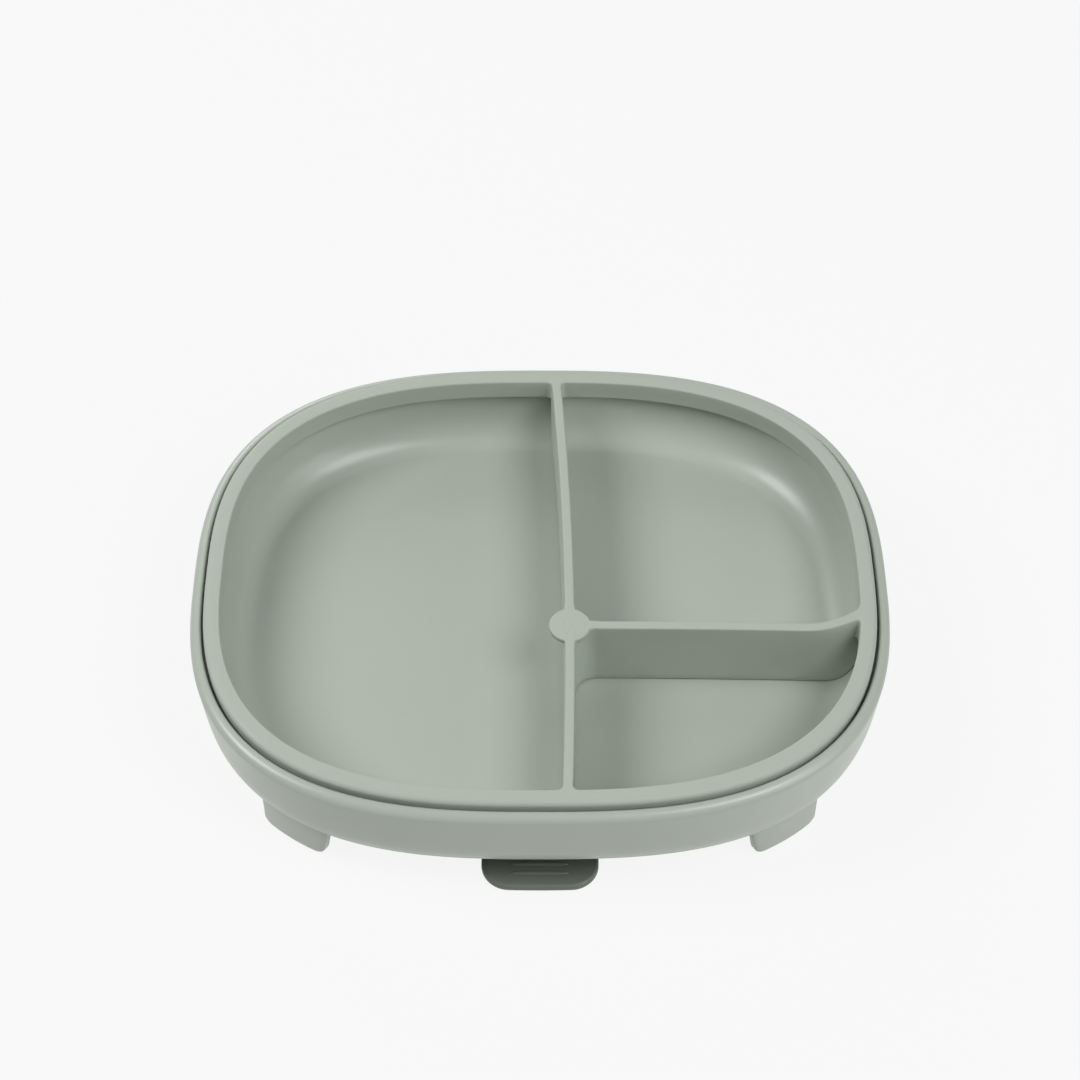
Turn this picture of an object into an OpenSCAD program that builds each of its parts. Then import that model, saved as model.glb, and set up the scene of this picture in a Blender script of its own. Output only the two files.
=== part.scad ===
// Divided suction bowl for a small child: a one-piece bowl, a soft divider insert that
// lifts out, and a suction base with a release tab.
// X runs along the long side, -Y is the front with the tab, Z = 0 is the table.

/* [Overall] */
// Length of the bowl over its rim, along X
bowl_length = 200; // [160:1:240]
// Width of the bowl over its rim, along Y
bowl_width = 170; // [135:1:205]
// Height of the divider's top above the table
top_z = 40; // [38:0.5:55]
// Squareness of the plan outline, from 2 (an ellipse) upwards
squareness = 2.75; // [2.2:0.05:3.5]

/* [Bowl shell] */
// How far the rim's crest lies below the divider's top
rim_drop = 2.2; // [1:0.1:4]
// Thickness of the rim wall
rim_wall = 3.2; // [2:0.1:4]
// Radius of the rim's inner corner, which leaves the rest of the wall to the outer one
rim_corner = 0.8; // [0.3:0.1:1.5]
// Thickness of the dish wall and floor
dish_wall = 2.5; // [2:0.1:3]
// Height of the dish floor's top face above the table
floor_z = 17.1; // [16:0.1:19]
// Horizontal radius of the fillet between wall and floor
fillet_run = 10.5; // [8:0.5:20]
// Draft of the dish wall between the ledge and the fillet
dish_draft = 0.6; // [0.2:0.1:1.5]
// Thickness of the outer skirt
skirt_wall = 2.4; // [1.8:0.1:2.8]
// Height of the skirt's lower edge above the table
skirt_z = 14.1; // [12:0.1:16]
// Straight draft of the skirt over its height
skirt_draft = 1.9; // [0.5:0.1:3]
// Extra tuck of the skirt close to its lower edge
skirt_tuck = 1.1; // [0:0.1:2]

/* [Legs] */
// Place of each leg's middle along X
leg_x = 69.5; // [50:0.5:72]
// Width of a leg where it leaves the skirt
leg_width = 23.4; // [16:0.1:28]
// Thickness of a leg
leg_wall = 2.3; // [1.6:0.1:3]
// Step from the skirt's outer face in to the leg's outer face
leg_step = 1.4; // [0.5:0.1:2]
// How far each side of a leg leans in towards its foot
leg_lean = 1.6; // [0.5:0.1:3]
// Radius of a leg's lower corners
leg_corner = 3; // [1:0.5:4]
// Gap under a leg before the bowl is pressed down
leg_gap = 1.2; // [0.8:0.1:2]

/* [Divider insert] */
// Width of the sealing ring
ring_width = 4.7; // [4:0.1:6]
// Height of the sealing ring
ring_height = 6.3; // [5:0.1:8]
// Gap between the sealing ring and the rim
ring_gap = 0.7; // [0.4:0.1:1.2]
// How far the ring stands in over the top of the dish wall
ring_overhang = 2.6; // [0:0.1:3]
// Thickness of the dividing walls at the top
divider_wall = 2.8; // [2:0.1:3.5]
// Extra thickness of the dividing walls at the floor
divider_draft = 0.6; // [0:0.1:1.5]
// Place of the hub along X
hub_x = 8.4; // [0:0.2:15]
// Place of the hub along Y
hub_y = -19.4; // [-30:0.2:0]
// Radius of the hub's cap
hub_radius = 5.85; // [4:0.05:8]
// Thickness of the hub's cap
hub_cap = 1.8; // [1:0.1:3]
// Radius of the upright fillets between the long and the side wall
corner_radius = 6.5; // [3:0.5:10]
// Bow of the long wall's back end towards -X
back_bow = 3.4; // [0:0.1:6]
// Bow of the long wall's front end towards -X
front_bow = 0.9; // [0:0.1:4]
// Sag of the side wall towards the front
side_sag = 1.3; // [0:0.1:4]
// Turn of the side wall's outer end towards the back
side_turn = 6.2; // [0:0.1:10]
// Clearance between the dividing walls and the dish
divider_clear = 0.3; // [0.2:0.05:0.6]

/* [Suction base] */
// Radius of the sealing lip
lip_radius = 60; // [56:0.5:62]
// Thickness of the lip at its root
lip_thick = 2.4; // [2:0.1:2.6]
// Thickness of the lip at its edge
lip_edge = 0.9; // [0.6:0.1:1.5]
// Radius of the suction chamber's mouth
mouth_radius = 44; // [40:0.5:46]
// Thickness of the flexible dome
dome_thick = 1.5; // [1:0.1:1.8]
// Thickness of the plate that closes the chamber
plate_thick = 2.2; // [1.5:0.1:2.4]
// Outer radius of the ring under the bowl's floor
boss_radius = 30; // [26:0.5:31]
// Wall of the ring under the bowl's floor
boss_wall = 2.5; // [2:0.1:3]
// Depth of the ring under the bowl's floor
boss_depth = 5.8; // [5:0.1:6.2]
// Height of the snap bead out of the ring
bead = 0.9; // [0.5:0.1:1.1]
// Clearance between the ring and the collar round it
snap_clear = 0.15; // [0.1:0.05:0.3]
// Wall of the collar
collar_wall = 3.85; // [3:0.05:5]

/* [Release tab] */
// Width of the tab
tab_width = 32; // [24:1:36]
// Distance from the middle to the tab's front edge
tab_reach = 83; // [78:0.5:84]
// Thickness of the tab
tab_thick = 2.5; // [2:0.1:3]
// Radius of the tab's front corners
tab_corner = 7.5; // [3:0.5:9]
// Height of the tab's underside above the table
tab_lift = 0.4; // [0.3:0.1:0.8]
// Gap between the tab's rounded root and the lip
tab_gap = 0.3; // [0.2:0.05:0.5]
// Height of the grip ribs on the tab
rib_height = 0.5; // [0.3:0.1:0.8]

/* [Hidden] */
sage = [0.66, 0.71, 0.66];
soft_sage = [0.63, 0.68, 0.63];
AROUND = 72;             // points round the plan outline
ROUND_FN = 72;           // facets of the round parts

ledge_z = top_z - ring_height;
ledge_inset = rim_wall + ring_gap + ring_width;
rim_z = top_z - rim_drop;
under_z = floor_z - dish_wall;
dish_inset = ledge_inset - ring_overhang;
fillet_top_inset = dish_inset + dish_draft;
fillet_inset = fillet_top_inset + fillet_run;
fillet_top_z = ledge_z - ring_height / 4;
fillet_rise = fillet_top_z - floor_z;
rim_round = rim_wall - rim_corner;
skirt_top_z = rim_z - rim_round;
skirt_edge = skirt_wall / 2;
roof_z = ledge_z - dish_wall;
skirt_foot_inset = skirt_draft + skirt_tuck;
leg_inset = skirt_foot_inset + leg_step + leg_wall / 2;
leg_root_z = skirt_z + 4;
boss_z = under_z - boss_depth;
plate_z = boss_z - plate_thick;
collar_inner = boss_radius + snap_clear;
collar_outer = collar_inner + collar_wall;
bead_z = boss_z + 1.4;
bead_height = 1.4;
long_reach_back = bowl_width / 2 - ledge_inset - hub_y;
long_reach_front = bowl_width / 2 - ledge_inset + hub_y;
side_reach = bowl_length / 2 - ledge_inset - hub_x;
turn_from = 0.8;         // share of the side wall's reach where its end starts to turn
end_flare = 1.6;         // how much thicker each wall grows on both sides at its end
pad_z = tab_lift + 0.1;
pad_reach = lip_radius + 2;
hinge_y = -(pad_reach + tab_gap + tab_thick / 2);
hinge_z = tab_lift + tab_thick / 2;

// A power that keeps the sign of its base
function signed_pow(v, p) = sign(v) * pow(abs(v), p);

// The plan outline, drawn in from the rim by an inset
function outline(inset) = [
    for (i = [0 : AROUND - 1])
        let (t = 360 * i / AROUND)
        [
            (bowl_length / 2 - inset) * signed_pow(cos(t), 2 / squareness),
            (bowl_width / 2 - inset) * signed_pow(sin(t), 2 / squareness)
        ]
];

// The outline's half width in Y at a given X
function outline_y(x, inset) =
    (bowl_width / 2 - inset) * pow(1 - pow(abs(x) / (bowl_length / 2 - inset), squareness), 1 / squareness);

// How far the skirt's outer face lies in from the rim at a given height
function skirt_inset(z) =
    let (t = max(0, skirt_top_z - z) / (skirt_top_z - skirt_z - skirt_edge))
    skirt_draft * t + skirt_tuck * pow(t, 8);

// The dish's inner face from the floor's edge up to the ledge, moved in by a clearance
function dish_face(clear) = concat(
    [
        for (a = [0 : 10 : 90])
            [fillet_inset - (fillet_run - clear) * sin(a), fillet_top_z - (fillet_rise - clear) * cos(a)]
    ],
    [[dish_inset + clear, ledge_z]]
);

// A list turned end to end
function reversed(list) = [for (i = [len(list) - 1 : -1 : 0]) list[i]];

// A solid whose wall follows the plan outline through the [inset, z] points of a profile,
// which runs outwards along its underside and back inwards along its top.
// A closed profile makes a ring, and an open one is closed by flat faces at both ends.
module sweep_outline(profile, closed) {
    rings = len(profile);
    spans = closed ? rings : rings - 1;
    corners = [for (p = profile) for (q = outline(p[0])) [q[0], q[1], p[1]]];
    sides = [
        for (i = [0 : spans - 1])
            for (j = [0 : AROUND - 1])
                let (
                    low = i * AROUND,
                    high = ((i + 1) % rings) * AROUND,
                    next = (j + 1) % AROUND
                )
                each [
                    [low + j, high + j, high + next],
                    [low + j, high + next, low + next]
                ]
    ];
    first_cap = [for (j = [0 : AROUND - 1]) j];
    last_cap = [for (j = [AROUND - 1 : -1 : 0]) (rings - 1) * AROUND + j];
    polyhedron(corners, closed ? sides : concat(sides, [first_cap, last_cap]), convexity = 8);
}

// The bowl's section, from the floor's top over the rim to the floor's underside
function bowl_section() = concat(
    dish_face(0),
    [[rim_wall, ledge_z]],
    [for (a = [0 : 30 : 60]) [rim_round + rim_corner * cos(a), rim_z - rim_corner * (1 - sin(a))]],
    [for (a = [90 : 22.5 : 180]) [rim_round * (1 + cos(a)), skirt_top_z + rim_round * sin(a)]],
    [for (k = [1 : 7]) let (z = skirt_top_z + (skirt_z + skirt_edge - skirt_top_z) * k / 7) [skirt_inset(z), z]],
    [
        for (a = [210 : 30 : 330])
            [skirt_foot_inset + skirt_edge * (1 + cos(a)), skirt_z + skirt_edge * (1 + sin(a))]
    ],
    [
        for (k = [0 : 4])
            let (z = skirt_z + skirt_edge + (roof_z - skirt_z - skirt_edge) * k / 4)
            [skirt_inset(z) + skirt_wall, z]
    ],
    [
        for (a = [84 : -14 : 0])
            [fillet_inset - (fillet_run + dish_wall) * sin(a), fillet_top_z - (fillet_rise + dish_wall) * cos(a)]
    ]
);

// The lower edge of a leg as [distance along the skirt, height] points, one half
function leg_half() = concat(
    [for (s = [0, 0.5]) [s * leg_width / 2, leg_gap]],
    [
        for (a = [0 : 30 : 90])
            [leg_width / 2 - leg_lean - leg_corner * (1 - sin(a)), leg_gap + leg_corner * (1 - cos(a))]
    ],
    [[leg_width / 2, skirt_z]]
);

// Outward direction of the plan outline at a given X, on the leg's line
function outline_normal(x) =
    let (
        half_x = bowl_length / 2 - leg_inset,
        half_y = bowl_width / 2 - leg_inset,
        slope = [
            pow(x / half_x, squareness - 1) / half_x,
            pow(outline_y(x, leg_inset) / half_y, squareness - 1) / half_y
        ]
    )
    slope / norm(slope);

// One upright cut through a leg, at a distance along the skirt from the leg's middle
function leg_cut(s, z) =
    let (
        x = leg_x + s * outline_normal(leg_x)[1],
        middle = [x, outline_y(x, leg_inset)],
        half = outline_normal(x) * leg_wall / 2
    )
    [
        for (q = [[-1, z], [1, z], [1, leg_root_z], [-1, leg_root_z]])
            [middle[0] + q[0] * half[0], middle[1] + q[0] * half[1], q[1]]
    ];

// A leg: a curved blade under the skirt, made of short blocks between neighbouring cuts
module leg() {
    half = leg_half();
    for (side = [-1, 1])
        for (i = [0 : len(half) - 2])
            hull()
                polyhedron(
                    concat(
                        leg_cut(side * half[i][0], half[i][1]),
                        leg_cut(side * half[i + 1][0], half[i + 1][1])
                    ),
                    [[0, 1, 2, 3], [7, 6, 5, 4], [0, 4, 5, 1], [1, 5, 6, 2], [2, 6, 7, 3], [3, 7, 4, 0]]
                );
}

// Ring under the floor with a bead that the suction base snaps over
module floor_boss() {
    rotate_extrude($fn = ROUND_FN)
        polygon([
            [boss_radius - boss_wall, under_z + 1],
            [boss_radius - boss_wall, boss_z],
            [boss_radius, boss_z],
            [boss_radius, bead_z],
            [boss_radius + bead, bead_z + bead_height / 2],
            [boss_radius, bead_z + bead_height],
            [boss_radius, under_z + 1]
        ]);
}

// The bowl in one moulding: dish, ledge, rim, skirt, four legs and the ring under its floor
module bowl_shell() {
    color(sage)
        union() {
            sweep_outline(reversed(bowl_section()), false);
            for (mx = [0, 1])
                for (my = [0, 1])
                    mirror([mx, 0, 0])
                        mirror([0, my, 0])
                            leg();
            floor_boss();
        }
}

// X of the long wall's middle line at a given Y
function long_wall_x(y) =
    y > hub_y
    ? hub_x - back_bow * pow((y - hub_y) / long_reach_back, 2)
    : hub_x - front_bow * pow((hub_y - y) / long_reach_front, 2);

// Y of the side wall's middle line along its foot, at a given share of its reach
function side_foot_y(t) = hub_y - side_sag * t * t;

// Y of the side wall's middle line along its top, whose end turns to the back
function side_wall_y(t) = side_foot_y(t) + side_turn * pow(max(0, t - turn_from) / (1 - turn_from), 2);

// One post of a dividing wall, which leans from its foot to its top
module wall_post(x, y, flare, foot_y) {
    tall = top_z - floor_z;
    multmatrix([[1, 0, 0, x], [0, 1, (y - foot_y) / tall, foot_y], [0, 0, 1, floor_z]])
        cylinder(
            h = tall,
            d1 = divider_wall + divider_draft + 2 * flare,
            d2 = divider_wall + 2 * flare,
            $fn = 24
        );
}

// The long wall from the back of the ring through the hub to its front
module long_wall() {
    steps = 16;
    start = hub_y + long_reach_back;
    span = long_reach_back + long_reach_front;
    for (i = [0 : steps - 1])
        hull()
            for (k = [i, i + 1])
                let (y = start - span * k / steps)
                wall_post(long_wall_x(y), y, 0, y);
    for (y = [start, start - span])
        hull() {
            wall_post(long_wall_x(y), y, end_flare, y);
            let (inner = y - sign(y) * 3 * end_flare)
                wall_post(long_wall_x(inner), inner, 0, inner);
        }
}

// The side wall from the hub to the right end of the ring
module side_wall() {
    steps = 12;
    for (i = [0 : steps - 1])
        hull()
            for (k = [i, i + 1])
                let (t = k / steps)
                wall_post(hub_x + side_reach * t, side_wall_y(t), 0, side_foot_y(t));
    hull() {
        wall_post(hub_x + side_reach, side_wall_y(1), end_flare, side_foot_y(1));
        wall_post(hub_x + side_reach - 3 * end_flare, side_wall_y(0.96), 0, side_foot_y(0.96));
    }
}

// Upright hollow fillet in the corner between the long and the side wall
module corner_fillet(side) {
    reach = corner_radius + divider_wall / 2;
    translate([hub_x, hub_y, floor_z])
        scale([1, side, 1])
            linear_extrude(top_z - hub_cap / 2 - floor_z)
                polygon(concat(
                    [[0, 0], [reach, 0]],
                    [for (a = [270 : -15 : 180]) [reach + corner_radius * cos(a), reach + corner_radius * sin(a)]],
                    [[0, reach]]
                ));
}

// The space that the dividing walls may fill, clear of the dish and into the ring
module wall_space() {
    buried = ledge_inset - ring_width / 2;
    sweep_outline(concat(dish_face(divider_clear), [[buried, ledge_z], [buried, top_z]]), false);
}

// Section of the sealing ring with softly rounded upper edges
function ring_section() =
    let (
        outer = rim_wall + ring_gap,
        outer_round = 0.8,
        inner_round = 1.2
    )
    concat(
        [[ledge_inset, ledge_z]],
        [[outer, ledge_z]],
        [for (a = [180 : -30 : 90]) [outer + outer_round * (1 + cos(a)), top_z - outer_round * (1 - sin(a))]],
        [for (a = [90 : -30 : 0]) [ledge_inset - inner_round * (1 - cos(a)), top_z - inner_round * (1 - sin(a))]]
    );

// The soft insert in one moulding: sealing ring, long wall, side wall and hub
module divider_insert() {
    color(soft_sage)
        union() {
            sweep_outline(ring_section(), true);
            intersection() {
                wall_space();
                union() {
                    long_wall();
                    side_wall();
                    for (side = [-1, 1])
                        corner_fillet(side);
                    translate([hub_x, hub_y, top_z - hub_cap])
                        cylinder(h = hub_cap, r = hub_radius, $fn = 48);
                }
            }
        }
}

// Plate and collar of the suction base, snapped over the ring under the bowl
module suction_collar() {
    groove = bead + snap_clear;
    color(soft_sage)
        rotate_extrude($fn = ROUND_FN)
            polygon([
                [0, plate_z],
                [collar_outer, plate_z],
                [collar_outer, under_z - snap_clear],
                [collar_inner, under_z - snap_clear],
                [collar_inner, bead_z + bead_height],
                [collar_inner + groove, bead_z + bead_height / 2],
                [collar_inner, bead_z],
                [collar_inner, boss_z],
                [0, boss_z]
            ]);
}

// The flexible dome that joins the plate to the lip
module suction_dome() {
    foot = 3.5;
    foot_radius = lip_radius - 10;
    color(soft_sage)
        rotate_extrude($fn = ROUND_FN)
            polygon([
                [collar_outer - foot, plate_z],
                [collar_outer, plate_z],
                [foot_radius, lip_thick + dome_thick],
                [foot_radius, lip_thick],
                [foot_radius - foot, lip_thick],
                [collar_outer - 0.8, plate_z - dome_thick],
                [collar_outer - foot, plate_z - dome_thick]
            ]);
}

// The sealing lip, flat underneath, with a pad that carries the release tab
module suction_lip() {
    color(soft_sage)
        union() {
            rotate_extrude($fn = ROUND_FN)
                polygon([
                    [mouth_radius, 0],
                    [lip_radius, 0],
                    [lip_radius, lip_edge],
                    [lip_radius - 9, lip_thick],
                    [mouth_radius, lip_thick]
                ]);
            translate([-tab_width / 2, -pad_reach, pad_z])
                cube([tab_width, pad_reach - lip_radius + 9, lip_thick - pad_z]);
        }
}

// The pull tab that breaks the seal, with a rounded root on its bending line
module release_tab() {
    front = tab_reach - tab_corner;
    color(soft_sage)
        union() {
            translate([0, 0, tab_lift])
                linear_extrude(tab_thick) {
                    translate([-tab_width / 2, -front])
                        square([tab_width, front + hinge_y]);
                    translate([-tab_width / 2 + tab_corner, -tab_reach])
                        square([tab_width - 2 * tab_corner, 2 * tab_corner]);
                    for (side = [-1, 1])
                        translate([side * (tab_width / 2 - tab_corner), -front])
                            circle(r = tab_corner, $fn = 48);
                }
            translate([-tab_width / 2, hinge_y, hinge_z])
                rotate([0, 90, 0])
                    cylinder(h = tab_width, d = tab_thick, $fn = 48);
            for (k = [0 : 2])
                translate([-tab_width / 4, -tab_reach + 4 + 3 * k, tab_lift + tab_thick])
                    cube([tab_width / 2, 1.2, rib_height]);
        }
}

bowl_shell();
divider_insert();
suction_collar();
suction_dome();
suction_lip();
release_tab();
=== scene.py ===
import logging
import math
from dataclasses import dataclass
from enum import Enum
from typing import Callable, Sequence

import bmesh
import bpy
import numpy as np
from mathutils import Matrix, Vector


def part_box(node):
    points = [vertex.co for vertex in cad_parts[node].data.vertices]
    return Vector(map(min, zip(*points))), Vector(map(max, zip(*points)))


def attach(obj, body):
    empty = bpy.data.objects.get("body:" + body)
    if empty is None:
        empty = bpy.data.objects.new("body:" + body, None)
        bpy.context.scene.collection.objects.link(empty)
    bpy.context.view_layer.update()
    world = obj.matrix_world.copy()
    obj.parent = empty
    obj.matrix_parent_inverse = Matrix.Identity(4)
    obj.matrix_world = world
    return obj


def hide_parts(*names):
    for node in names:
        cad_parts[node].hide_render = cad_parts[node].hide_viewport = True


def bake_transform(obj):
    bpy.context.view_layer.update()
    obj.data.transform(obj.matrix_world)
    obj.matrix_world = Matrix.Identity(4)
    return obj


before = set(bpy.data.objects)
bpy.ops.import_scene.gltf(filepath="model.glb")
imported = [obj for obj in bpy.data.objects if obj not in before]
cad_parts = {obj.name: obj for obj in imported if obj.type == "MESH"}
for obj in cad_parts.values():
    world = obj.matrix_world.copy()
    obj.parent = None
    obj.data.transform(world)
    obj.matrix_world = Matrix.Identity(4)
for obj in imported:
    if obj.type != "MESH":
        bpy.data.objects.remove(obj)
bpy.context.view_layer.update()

log = logging.getLogger("suction_bowl")

MM = 0.001
AROUND = 288  # points round the plan outline
SAME_POINT = 1e-7  # distance in metres under which two points are one


class Slot(Enum):
    """The record's material slots."""

    BOWL = "bowl_plastic"
    INSERT = "soft_insert"
    BASE = "soft_base"


class Body(Enum):
    """The moving bodies that pieces ride on."""

    BASE = "base"
    BOWL = "bowl"
    DIVIDER = "divider"
    TAB = "tab"


# ---------------------------------------------------------------- small node helpers


def socket_id(tree: bpy.types.NodeTree, name: str) -> str:
    """Finds a modifier input's identifier.

    Args:
        tree: The Geometry Nodes tree.
        name: The input's shown name.

    Returns:
        The socket's identifier.
    """
    for item in tree.interface.items_tree:
        if item.item_type == "SOCKET" and item.in_out == "INPUT" and item.name == name:
            return item.identifier
    raise KeyError(name)


class NodeSheet:
    """Adds and links nodes in one tree."""

    def __init__(self, tree: bpy.types.NodeTree) -> None:
        """Keeps the tree that is written to."""
        self.tree = tree
        self.count = 0

    def add(self, kind: str, **settings: object) -> bpy.types.Node:
        """Adds a node.

        Args:
            kind: The node's type name.
            **settings: Properties to set on the node.

        Returns:
            The new node.
        """
        node = self.tree.nodes.new(kind)
        node.location = (180.0 * (self.count % 8), -220.0 * (self.count // 8))
        self.count += 1
        for name, value in settings.items():
            setattr(node, name, value)
        return node

    def link(self, source: bpy.types.NodeSocket, target: bpy.types.NodeSocket) -> None:
        """Joins an output to an input."""
        self.tree.links.new(source, target)

    def feed(self, target: bpy.types.NodeSocket, value: object) -> None:
        """Links a socket to the target, or writes a plain value on it."""
        if isinstance(value, bpy.types.NodeSocket):
            self.link(value, target)
        else:
            target.default_value = value

    def math(self, operation: str, *values: object) -> bpy.types.NodeSocket:
        """Adds a math node.

        Args:
            operation: The node's operation.
            *values: Sockets or numbers for its inputs.

        Returns:
            The result socket.
        """
        node = self.add("ShaderNodeMath", operation=operation)
        for index, value in enumerate(values):
            self.feed(node.inputs[index], value)
        return node.outputs[0]


# ---------------------------------------------------------------- shader groups


def new_group(
    name: str, inputs: Sequence[tuple], outputs: Sequence[tuple], kind: str = "ShaderNodeTree"
) -> tuple:
    """Makes an empty node group.

    Args:
        name: The group's name.
        inputs: (name, socket type) of each input, with its default where it has one.
        outputs: (name, socket type) of each output.
        kind: The tree's type.

    Returns:
        The group, its sheet, its input node and its output node.
    """
    tree = bpy.data.node_groups.new(name, kind)
    for label, socket_kind, *default in inputs:
        item = tree.interface.new_socket(label, in_out="INPUT", socket_type=socket_kind)
        if default:
            item.default_value = default[0]
    for label, socket_kind in outputs:
        tree.interface.new_socket(label, in_out="OUTPUT", socket_type=socket_kind)
    sheet = NodeSheet(tree)
    return tree, sheet, sheet.add("NodeGroupInput"), sheet.add("NodeGroupOutput")


class MouldTexture:
    """Fine matte texture of a moulded surface: a spark-eroded grain over a faint waviness."""

    NAME = "mould_texture"

    @classmethod
    def group(cls) -> bpy.types.NodeTree:
        """Builds the group once and returns it."""
        found = bpy.data.node_groups.get(cls.NAME)
        if found:
            return found
        tree, sheet, source, result = new_group(
            cls.NAME,
            [
                ("Vector", "NodeSocketVector", (0.0, 0.0, 0.0)),
                ("Grain Scale", "NodeSocketFloat", 2600.0),
                ("Grain", "NodeSocketFloat", 1.0),
                ("Wave Scale", "NodeSocketFloat", 60.0),
                ("Wave", "NodeSocketFloat", 0.5),
                ("Rough Low", "NodeSocketFloat", 0.45),
                ("Rough High", "NodeSocketFloat", 0.55),
            ],
            [("Height", "NodeSocketFloat"), ("Roughness", "NodeSocketFloat")],
        )
        grain = sheet.add("ShaderNodeTexNoise", noise_dimensions="3D")
        grain.inputs["Detail"].default_value = 3.0
        grain.inputs["Roughness"].default_value = 0.6
        pits = sheet.add("ShaderNodeTexVoronoi", feature="SMOOTH_F1")
        pit_scale = sheet.math("MULTIPLY", source.outputs["Grain Scale"], 0.7)
        wave = sheet.add("ShaderNodeTexNoise", noise_dimensions="3D")
        wave.inputs["Detail"].default_value = 2.0
        scales = (source.outputs["Grain Scale"], pit_scale, source.outputs["Wave Scale"])
        for texture, scale in zip((grain, pits, wave), scales):
            sheet.link(source.outputs["Vector"], texture.inputs["Vector"])
            sheet.link(scale, texture.inputs["Scale"])
        both = sheet.math("ADD", grain.outputs["Fac"], sheet.math("MULTIPLY", pits.outputs["Distance"], 0.5))
        fine = sheet.math("MULTIPLY", both, source.outputs["Grain"])
        height = sheet.math("MULTIPLY_ADD", wave.outputs["Fac"], source.outputs["Wave"], fine)
        sheet.link(height, result.inputs["Height"])
        spread = sheet.add("ShaderNodeMapRange")
        spread.inputs["From Min"].default_value = 0.35
        spread.inputs["From Max"].default_value = 0.65
        sheet.link(wave.outputs["Fac"], spread.inputs["Value"])
        sheet.link(source.outputs["Rough Low"], spread.inputs["To Min"])
        sheet.link(source.outputs["Rough High"], spread.inputs["To Max"])
        sheet.link(spread.outputs["Result"], result.inputs["Roughness"])
        return tree


class ToneDrift:
    """Slight unevenness in a moulded colour, as pigment gives."""

    NAME = "tone_drift"

    @classmethod
    def group(cls) -> bpy.types.NodeTree:
        """Builds the group once and returns it."""
        found = bpy.data.node_groups.get(cls.NAME)
        if found:
            return found
        tree, sheet, source, result = new_group(
            cls.NAME,
            [
                ("Vector", "NodeSocketVector", (0.0, 0.0, 0.0)),
                ("Colour", "NodeSocketColor", (0.4, 0.45, 0.4, 1.0)),
                ("Drift Colour", "NodeSocketColor", (0.38, 0.43, 0.38, 1.0)),
                ("Scale", "NodeSocketFloat", 18.0),
                ("Amount", "NodeSocketFloat", 0.5),
            ],
            [("Colour", "NodeSocketColor")],
        )
        cloud = sheet.add("ShaderNodeTexNoise", noise_dimensions="3D")
        cloud.inputs["Detail"].default_value = 4.0
        sheet.link(source.outputs["Vector"], cloud.inputs["Vector"])
        sheet.link(source.outputs["Scale"], cloud.inputs["Scale"])
        mix = sheet.add("ShaderNodeMix", data_type="RGBA")
        share = sheet.math("MULTIPLY", cloud.outputs["Fac"], source.outputs["Amount"])
        sheet.link(share, mix.inputs["Factor"])
        sheet.link(source.outputs["Colour"], mix.inputs["A"])
        sheet.link(source.outputs["Drift Colour"], mix.inputs["B"])
        sheet.link(mix.outputs["Result"], result.inputs["Colour"])
        return tree


# ---------------------------------------------------------------- finishes


@dataclass(frozen=True)
class MouldedFinish:
    """A moulded plastic or silicone surface.

    Attributes:
        name: The material's name.
        colour: Base colour, linear.
        drift: Second colour that the pigment drifts towards.
        rough_low: Roughness at its smoothest.
        rough_high: Roughness at its roughest.
        grain_scale: Frequency of the matte grain, per metre.
        grain: Height of the grain, as a share.
        bump: Depth of the whole relief in metres.
        specular: Specular level.
        sheen: Sheen weight, for soft silicone.
    """

    name: str
    colour: tuple
    drift: tuple
    rough_low: float
    rough_high: float
    grain_scale: float
    grain: float
    bump: float
    specular: float
    sheen: float = 0.0

    def material(self) -> bpy.types.Material:
        """Builds the material once and returns it."""
        found = bpy.data.materials.get(self.name)
        if found:
            return found
        made = bpy.data.materials.new(self.name)
        made.use_nodes = True
        made.diffuse_color = (*self.colour, 1.0)
        sheet = NodeSheet(made.node_tree)
        shader = made.node_tree.nodes["Principled BSDF"]
        shader.inputs["Specular IOR Level"].default_value = self.specular
        shader.inputs["Sheen Weight"].default_value = self.sheen
        shader.inputs["Sheen Roughness"].default_value = 0.4
        place = sheet.add("ShaderNodeTexCoord")
        tone = sheet.add("ShaderNodeGroup")
        tone.node_tree = ToneDrift.group()
        tone.inputs["Colour"].default_value = (*self.colour, 1.0)
        tone.inputs["Drift Colour"].default_value = (*self.drift, 1.0)
        relief = sheet.add("ShaderNodeGroup")
        relief.node_tree = MouldTexture.group()
        relief.inputs["Grain Scale"].default_value = self.grain_scale
        relief.inputs["Grain"].default_value = self.grain
        relief.inputs["Rough Low"].default_value = self.rough_low
        relief.inputs["Rough High"].default_value = self.rough_high
        bump = sheet.add("ShaderNodeBump")
        bump.inputs["Distance"].default_value = self.bump
        for user in (tone, relief):
            sheet.link(place.outputs["Object"], user.inputs["Vector"])
        sheet.link(tone.outputs["Colour"], shader.inputs["Base Color"])
        sheet.link(relief.outputs["Roughness"], shader.inputs["Roughness"])
        sheet.link(relief.outputs["Height"], bump.inputs["Height"])
        sheet.link(bump.outputs["Normal"], shader.inputs["Normal"])
        return made


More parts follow.
